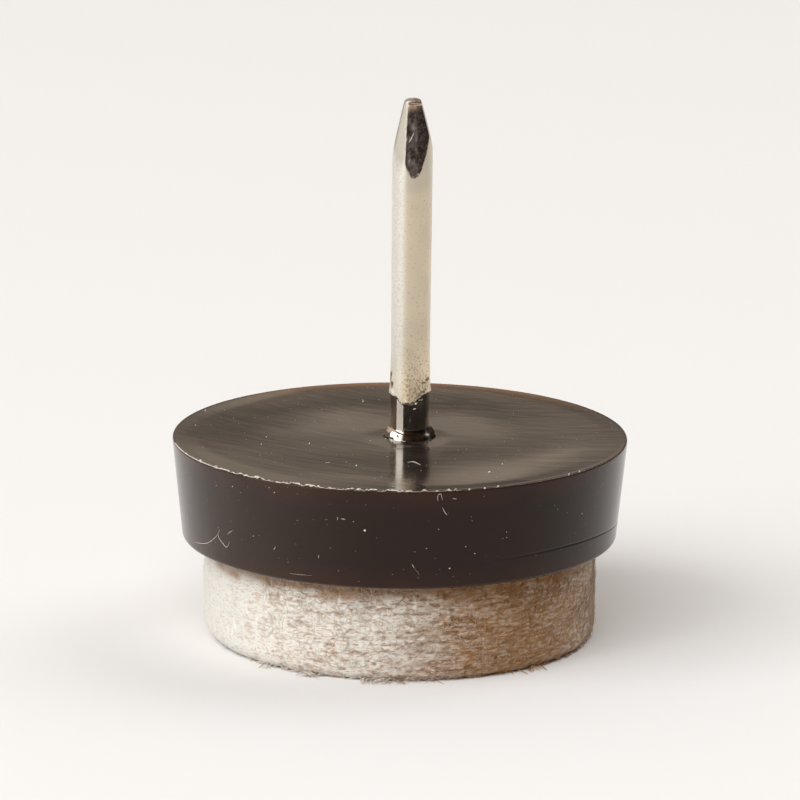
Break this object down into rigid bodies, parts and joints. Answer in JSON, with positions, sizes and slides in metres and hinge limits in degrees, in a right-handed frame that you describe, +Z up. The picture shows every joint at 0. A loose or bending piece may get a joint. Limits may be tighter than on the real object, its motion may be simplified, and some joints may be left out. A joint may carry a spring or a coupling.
{
  "type": "nail-on furniture glide",
  "caption": "Round dark plastic disc with a thick felt foot below and a pointed nail standing up from its top, driven into a furniture leg so that it slides without marking the floor.",
  "frame": {"origin": "on the floor, under the middle of the felt pad and of the disc", "axes": "+Z up along the nail, towards its point; -Y is the side that the picture shows"},
  "size_m": [0.024, 0.024, 0.0287],
  "materials": {
    "plated_steel": "satin",
    "brown_plastic": "gloss",
    "felt": "matte",
    "adhesive": "satin"
  },
  "bodies": {
    "root": {"nail": "plated_steel", "plastic_base": "brown_plastic", "felt_pad": "felt", "adhesive_film": "adhesive"}
  },
  "joints": []
}
